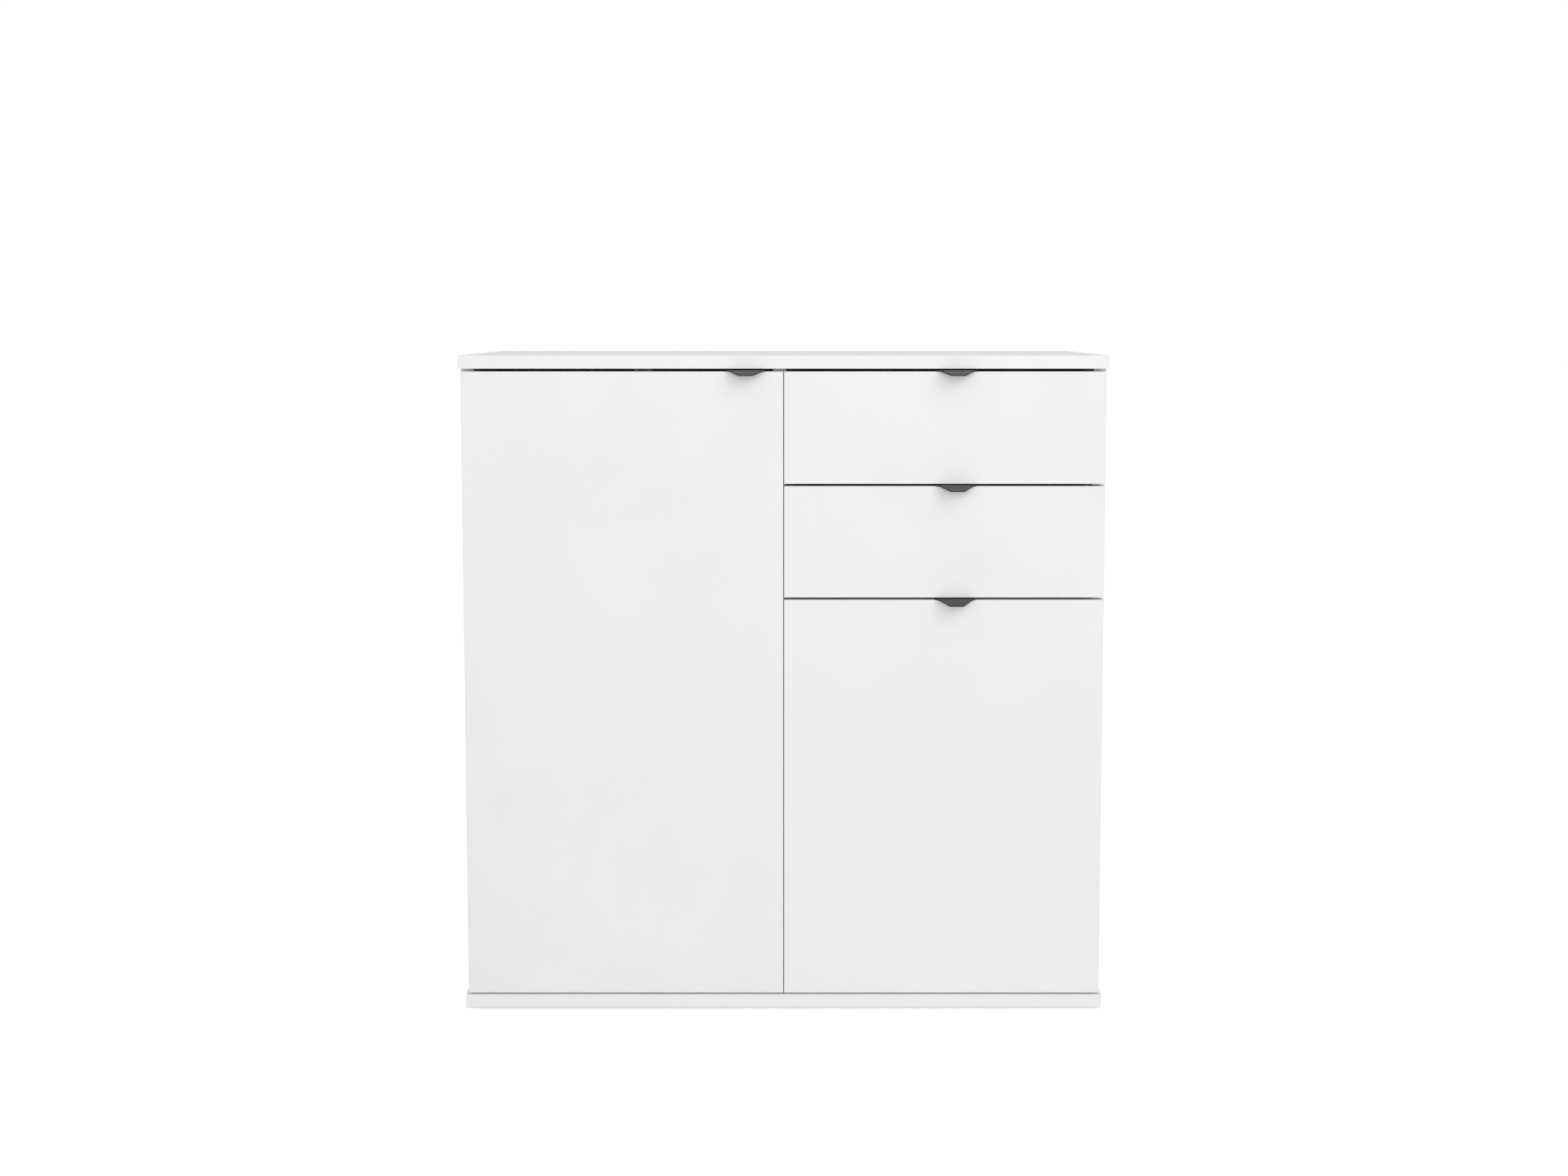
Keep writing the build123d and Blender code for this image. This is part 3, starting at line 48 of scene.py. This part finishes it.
# ---- short calls for node materials -------------------------------------------------------
class Finish:
    """A principled material with short calls for the pattern nodes that feed it."""

    def __init__(self, name, **constants):
        self.material = bpy.data.materials.new(name)
        self.material.use_nodes = True
        self.tree = self.material.node_tree
        self.shader = self.tree.nodes["Principled BSDF"]
        self.place = self.node("ShaderNodeTexCoord").outputs["Object"]
        for socket, value in constants.items():
            self.shader.inputs[socket.replace("_", " ")].default_value = value

    def node(self, kind, inputs=(), **settings):
        """A node with its settings; each input is a value or the output that feeds it."""
        made = self.tree.nodes.new(kind)
        for name, value in settings.items():
            setattr(made, name, value)
        for index, value in dict(inputs).items():
            if isinstance(value, bpy.types.NodeSocket):
                self.tree.links.new(value, made.inputs[index])
            else:
                made.inputs[index].default_value = value
        return made

    def feed(self, socket, output):
        """Feeds one of the shader's sockets."""
        self.tree.links.new(output, self.shader.inputs[socket])

    def stretched(self, scale):
        """The piece's own coordinates, scaled along each axis."""
        inputs = {0: self.place, 1: scale}
        return self.node("ShaderNodeVectorMath", inputs, operation="MULTIPLY").outputs[0]

    def noise(self, scale, detail=2.0, place=None):
        """Noise with features about 1/scale metres across."""
        inputs = {"Vector": place or self.place, "Scale": scale, "Detail": detail}
        return self.node("ShaderNodeTexNoise", inputs).outputs["Fac"]

    def cells(self, scale):
        """Distance to the nearest of many scattered points."""
        inputs = {"Vector": self.place, "Scale": scale}
        return self.node("ShaderNodeTexVoronoi", inputs).outputs["Distance"]

    def math(self, operation, first, second=0.0, third=0.0):
        """One arithmetic step."""
        inputs = {0: first, 1: second, 2: third}
        return self.node("ShaderNodeMath", inputs, operation=operation).outputs[0]

    def ranged(self, value, start, stop, low, high):
        """A value moved from one range to another and kept inside it."""
        inputs = {"Value": value, "From Min": start, "From Max": stop, "To Min": low, "To Max": high}
        return self.node("ShaderNodeMapRange", inputs).outputs["Result"]

    def spread(self, noise, low, high):
        """Noise moved so that its usual spread runs from low to high."""
        return self.ranged(noise, *NOISE_SPREAD, low, high)

    def colour(self, factor, first, second):
        """A colour between two others."""
        made = self.node("ShaderNodeMix", {0: factor}, data_type="RGBA")
        for index, value in ((6, first), (7, second)):
            if isinstance(value, bpy.types.NodeSocket):
                self.tree.links.new(value, made.inputs[index])
            else:
                made.inputs[index].default_value = (*value, 1.0)
        return made.outputs[2]

    def bump(self, height, strength, depth, before=None):
        """Adds relief, a given number of metres deep, over any relief made before."""
        inputs = {"Height": height, "Strength": strength, "Distance": depth}
        made = self.node("ShaderNodeBump", inputs)
        if before:
            self.tree.links.new(before, made.inputs["Normal"])
        self.feed("Normal", made.outputs["Normal"])
        return made.outputs["Normal"]

    def signed_facing(self, axis):
        """The surface normal's share along an axis, with its sign."""
        normal = self.node("ShaderNodeNewGeometry").outputs["True Normal"]
        return self.node("ShaderNodeSeparateXYZ", {0: normal}).outputs[axis]

    def facing(self, axis):
        """How squarely the surface faces along an axis: 1 on that face, 0 on its sides."""
        return self.math("ABSOLUTE", self.signed_facing(axis))


# ---- boards -------------------------------------------------------------------------------
THIN_AXIS = {
    "top_panel": 2, "base_panel": 2, "drawer_shelf": 2,
    "left_lower_shelf": 2, "left_upper_shelf": 2, "right_shelf": 2,
    "left_side_panel": 0, "right_side_panel": 0, "centre_divider": 0,
    "left_door": 1, "right_door": 1, "upper_drawer_front": 1, "lower_drawer_front": 1,
}
BAND = 1.0 * MM              # thickness of the edge band
LINE = 0.12 * MM             # half width of the glue line

# Each pair is a darker and a lighter colour that noise moves between.
MELAMINE = ((0.792, 0.800, 0.815), (0.820, 0.827, 0.841))
BAND_WHITE = (0.815, 0.821, 0.834)
GLUE_LINE = (0.60, 0.59, 0.57)
FOIL = ((0.80, 0.80, 0.79), (0.86, 0.86, 0.85))
PRESSED_EDGE = ((0.70, 0.69, 0.66), (0.82, 0.81, 0.79))
FIBRE = ((0.16, 0.085, 0.042), (0.34, 0.20, 0.11))
FLECK = (0.50, 0.35, 0.22)
LACQUER = ((0.80, 0.80, 0.79), (0.85, 0.85, 0.845))


def glue_line(finish, node, thin):
    """The hairline between a board's face and the band on its edges."""
    low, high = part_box(node)
    split = finish.node("ShaderNodeSeparateXYZ", {0: finish.place})
    lines = []
    for axis in {0, 1, 2} - {thin}:
        middle = (low[axis] + high[axis]) / 2
        half = (high[axis] - low[axis]) / 2
        offset = finish.math("ABSOLUTE", finish.math("SUBTRACT", split.outputs[axis], middle))
        lines.append(finish.math("COMPARE", offset, half - BAND, LINE))
    return finish.math("MAXIMUM", lines[0], lines[1])


def melamine(node):
    """White melamine on chipboard: pearl relief on the faces, smoother ABS band on the edges."""
    thin = THIN_AXIS[node]
    finish = Finish(f"white_melamine_{node}", IOR=1.46)
    on_face = finish.ranged(finish.facing(thin), 0.55, 0.75, 0.0, 1.0)
    clouds = finish.noise(7.0, 3.0)
    face = finish.colour(finish.spread(clouds, 0.0, 1.0), *MELAMINE)
    joint = finish.math("MULTIPLY", glue_line(finish, node, thin), on_face)
    lined = finish.colour(finish.math("MULTIPLY", joint, 0.5), face, GLUE_LINE)
    finish.feed("Base Color", finish.colour(on_face, BAND_WHITE, lined))

    smears = finish.spread(finish.noise(35.0, 4.0), 0.36, 0.46)
    band_rough = finish.spread(finish.noise(180.0), 0.30, 0.38)
    mixed = finish.node("ShaderNodeMix", {0: on_face, 2: band_rough, 3: smears})
    finish.feed("Roughness", mixed.outputs[0])

    pearl = finish.math("MULTIPLY", finish.noise(1100.0, 1.0), on_face)
    relief = finish.bump(pearl, 0.35, 0.04 * MM)
    finish.bump(finish.noise(14.0, 1.0), 0.10, 0.3 * MM, relief)
    return finish.material


def box_foil():
    """Paper foil on the drawer boards, with bare pressed edges a little darker."""
    finish = Finish("drawer_foil", IOR=1.45)
    on_face = finish.ranged(finish.facing(2), 0.4, 0.6, 1.0, 0.0)
    paper = finish.colour(finish.noise(60.0, 4.0), *FOIL)
    edge = finish.colour(finish.noise(900.0, 2.0), *PRESSED_EDGE)
    finish.feed("Base Color", finish.colour(on_face, edge, paper))
    finish.feed("Roughness", finish.spread(finish.noise(120.0, 2.0), 0.42, 0.55))
    finish.bump(finish.noise(1400.0, 2.0), 0.3, 0.05 * MM)
    return finish.material


def hardboard(name, white_axis, white_way):
    """Pressed fibre sheet: white lacquer on one face, raw brown fibre on the other and its edges."""
    finish = Finish(name, IOR=1.45)
    toward = finish.math("MULTIPLY", finish.signed_facing(white_axis), white_way)
    white = finish.ranged(toward, 0.4, 0.6, 0.0, 1.0)
    fibres = finish.noise(420.0, 6.0, finish.stretched((1.0, 1.0, 0.35)))
    flecks = finish.ranged(finish.cells(600.0), 0.0, 0.45, 1.0, 0.0)
    brown = finish.colour(fibres, *FIBRE)
    flecked = finish.colour(finish.math("MULTIPLY", flecks, 0.35), brown, FLECK)
    lacquer = finish.colour(finish.noise(24.0, 3.0), *LACQUER)
    finish.feed("Base Color", finish.colour(white, flecked, lacquer))
    finish.feed("Roughness", finish.ranged(white, 0.0, 1.0, 0.78, 0.42))
    finish.bump(fibres, 0.5, 0.15 * MM)
    return finish.material


# ---- metal, plastic and wood --------------------------------------------------------------
BLACK_POWDER = ((0.016, 0.016, 0.017), (0.030, 0.030, 0.031))
WHITE_EPOXY = ((0.74, 0.74, 0.735), (0.82, 0.82, 0.815))
BEECH = ((0.42, 0.26, 0.13), (0.62, 0.43, 0.25))
NYLON = ((0.72, 0.72, 0.69), (0.82, 0.82, 0.79))
BRIGHT_ZINC = ((0.52, 0.52, 0.53), (0.74, 0.74, 0.75))
CAST_ZINC = ((0.34, 0.34, 0.35), (0.52, 0.52, 0.53))
GLIDE_WHITE = ((0.70, 0.70, 0.69), (0.78, 0.78, 0.77))
CLEAR_GUM = ((0.66, 0.67, 0.67), (0.76, 0.77, 0.77))


def grip_paint():
    """Fine-textured black powder coat, worn a touch lighter where fingers rub."""
    finish = Finish("black_powder_coat", IOR=1.5)
    rub = finish.ranged(finish.noise(90.0, 3.0), 0.45, 0.75, 0.0, 1.0)
    finish.feed("Base Color", finish.colour(rub, *BLACK_POWDER))
    finish.feed("Roughness", finish.spread(finish.noise(700.0, 2.0), 0.34, 0.46))
    finish.bump(finish.noise(2600.0, 2.0), 0.35, 0.05 * MM)
    return finish.material


def plated(name, tones, rough):
    """Zinc or nickel plate with faint spangle and drawing marks."""
    finish = Finish(name, Metallic=1.0)
    spangle = finish.ranged(finish.cells(260.0), 0.1, 0.6, 0.0, 1.0)
    marks = finish.noise(1200.0, 3.0, finish.stretched((1.0, 0.08, 1.0)))
    tone = finish.math("MULTIPLY_ADD", marks, 0.5, finish.math("MULTIPLY", spangle, 0.5))
    finish.feed("Base Color", finish.colour(tone, *tones))
    finish.feed("Roughness", finish.spread(marks, rough - 0.06, rough + 0.08))
    finish.bump(marks, 0.25, 0.03 * MM)
    return finish.material


def runner_coat():
    """White epoxy powder on the runner steel, with orange peel."""
    finish = Finish("white_epoxy_runner", IOR=1.5)
    finish.feed("Base Color", finish.colour(finish.noise(50.0, 3.0), *WHITE_EPOXY))
    finish.feed("Roughness", finish.spread(finish.noise(300.0), 0.30, 0.42))
    finish.bump(finish.noise(650.0, 1.0), 0.4, 0.08 * MM)
    return finish.material


def moulded(name, tones, rough, **constants):
    """Moulded plastic: slight flow clouds and a fine spark-eroded skin."""
    finish = Finish(name, IOR=1.5, **constants)
    finish.feed("Base Color", finish.colour(finish.noise(130.0, 3.0), *tones))
    finish.feed("Roughness", finish.spread(finish.noise(500.0), rough - 0.05, rough + 0.06))
    finish.bump(finish.noise(1800.0, 1.0), 0.3, 0.04 * MM)
    return finish.material


def beech():
    """Beech dowel wood with grain along the dowels and pressed flutes."""
    finish = Finish("beech_dowel", IOR=1.45)
    grain = finish.noise(500.0, 4.0, finish.stretched((1.0, 1.0, 0.15)))
    finish.feed("Base Color", finish.colour(grain, *BEECH))
    finish.feed("Roughness", finish.spread(grain, 0.5, 0.7))
    finish.bump(grain, 0.5, 0.1 * MM)
    return finish.material


SHARED = {
    "box_board": box_foil(),
    "grip": grip_paint(),
    "nylon": moulded("white_nylon", NYLON, 0.35, Subsurface_Weight=0.05),
    "runner_steel": runner_coat(),
    "zinc": plated("bright_plate", BRIGHT_ZINC, 0.30),
    "cam_metal": plated("cast_zinc", CAST_ZINC, 0.50),
    "dowel_wood": beech(),
    "glide_plastic": moulded("white_glide", GLIDE_WHITE, 0.45),
    "bumper": moulded("clear_bumper", CLEAR_GUM, 0.22, Transmission_Weight=0.6),
}
BACK_SHEET = hardboard("back_hardboard", 1, -1.0)
BOTTOM_SHEET = hardboard("drawer_hardboard", 2, 1.0)


def finish_for(node):
    """The material of a CAD node."""
    if node in THIN_AXIS:
        return melamine(node)
    if SLOTS[node] == "hardboard":
        return BACK_SHEET if node == "back_panel" else BOTTOM_SHEET
    return SHARED[SLOTS[node]]


for name, piece in frame["nodes"].items():
    piece.data.materials.clear()
    piece.data.materials.append(finish_for(name))


# ---- floor, light and camera --------------------------------------------------------------
FLOOR_HALF = 30.0            # metres from the middle of the floor to its edges
FLOOR_TONE = ((0.70, 0.70, 0.70), (0.72, 0.72, 0.72))
FLOOR_GLOW = 0.55            # brings the floor up to the white of the surround
HORIZON_LIGHT = 1.02
SKY_LIGHT = 0.62
BAND_TOP = 0.25              # height where the bright band round the horizon starts to fade
LAMPS = {                    # metres and watts
    "key": {"place": (3.6, -4.1, 4.6), "size": 4.0, "power": 98.0},
    "front_fill": {"place": (0.3, -4.6, 1.1), "size": 3.6, "power": 58.0},
}
CAMERA_AWAY = 2.192          # in front of the top board's front edge
CAMERA_ABOVE = 0.042         # over the top surface
CAMERA_ASIDE = 0.4 * MM      # to the right of the middle
CAMERA_TIP = 4.4             # degrees down from level
CAMERA_LENS = 41.0           # millimetres, on a 36 mm wide sensor
CAMERA_SHIFT = -0.0825       # in sensor widths


def stage_floor():
    """A wide, pale floor, as white as the surround behind it so that the two meet without an edge."""
    half = FLOOR_HALF
    mesh = bpy.data.meshes.new("floor")
    corners = [(-half, -half, 0), (half, -half, 0), (half, half, 0), (-half, half, 0)]
    mesh.from_pydata(corners, [], [(0, 1, 2, 3)])
    floor = bpy.data.objects.new("floor", mesh)
    bpy.context.collection.objects.link(floor)
    finish = Finish("pale_floor", Roughness=0.9, Emission_Color=(1, 1, 1, 1))
    finish.feed("Base Color", finish.colour(finish.noise(2.0), *FLOOR_TONE))
    seen = finish.node("ShaderNodeLightPath").outputs["Is Camera Ray"]
    finish.feed("Emission Strength", finish.math("MULTIPLY", seen, FLOOR_GLOW))
    mesh.materials.append(finish.material)


def surround():
    """A white surround: bright around the horizon and softer overhead."""
    world = bpy.data.worlds.new("white_surround")
    bpy.context.scene.world = world
    world.use_nodes = True
    nodes, links = world.node_tree.nodes, world.node_tree.links
    backdrop = nodes["Background"]
    backdrop.inputs["Color"].default_value = (1.0, 1.0, 1.0, 1.0)
    direction = nodes.new("ShaderNodeTexCoord")
    split = nodes.new("ShaderNodeSeparateXYZ")
    level = nodes.new("ShaderNodeMapRange")
    level.interpolation_type = "SMOOTHSTEP"
    level.inputs["From Min"].default_value = BAND_TOP
    level.inputs["From Max"].default_value = 2 * BAND_TOP
    level.inputs["To Min"].default_value = HORIZON_LIGHT
    level.inputs["To Max"].default_value = SKY_LIGHT
    links.new(direction.outputs["Generated"], split.inputs[0])
    links.new(split.outputs["Z"], level.inputs["Value"])
    links.new(level.outputs["Result"], backdrop.inputs["Strength"])


def softbox(name, place, target, size, power):
    """A square soft light that looks at a point."""
    data = bpy.data.lights.new(name, "AREA")
    data.size = size
    data.energy = power
    lamp = bpy.data.objects.new(name, data)
    lamp.location = place
    aim = Vector(target) - Vector(place)
    lamp.rotation_euler = aim.to_track_quat("-Z", "Y").to_euler()
    bpy.context.collection.objects.link(lamp)


def photo_camera():
    """A camera in front of the cabinet, a little above its top and tipped slightly down."""
    top = CAD_BOX[1].z
    board_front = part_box("top_panel")[0].y
    data = bpy.data.cameras.new("camera")
    data.sensor_width = 36.0
    data.lens = CAMERA_LENS
    data.shift_y = CAMERA_SHIFT
    camera = bpy.data.objects.new("camera", data)
    camera.location = (CAMERA_ASIDE, board_front - CAMERA_AWAY, top + CAMERA_ABOVE)
    camera.rotation_euler = (math.radians(90.0 - CAMERA_TIP), 0.0, 0.0)
    bpy.context.collection.objects.link(camera)
    bpy.context.scene.camera = camera


stage_floor()
surround()
middle = (CAD_BOX[0] + CAD_BOX[1]) / 2
for name, lamp in LAMPS.items():
    softbox(name, target=middle, **lamp)
photo_camera()
bpy.context.scene.view_settings.view_transform = "Standard"
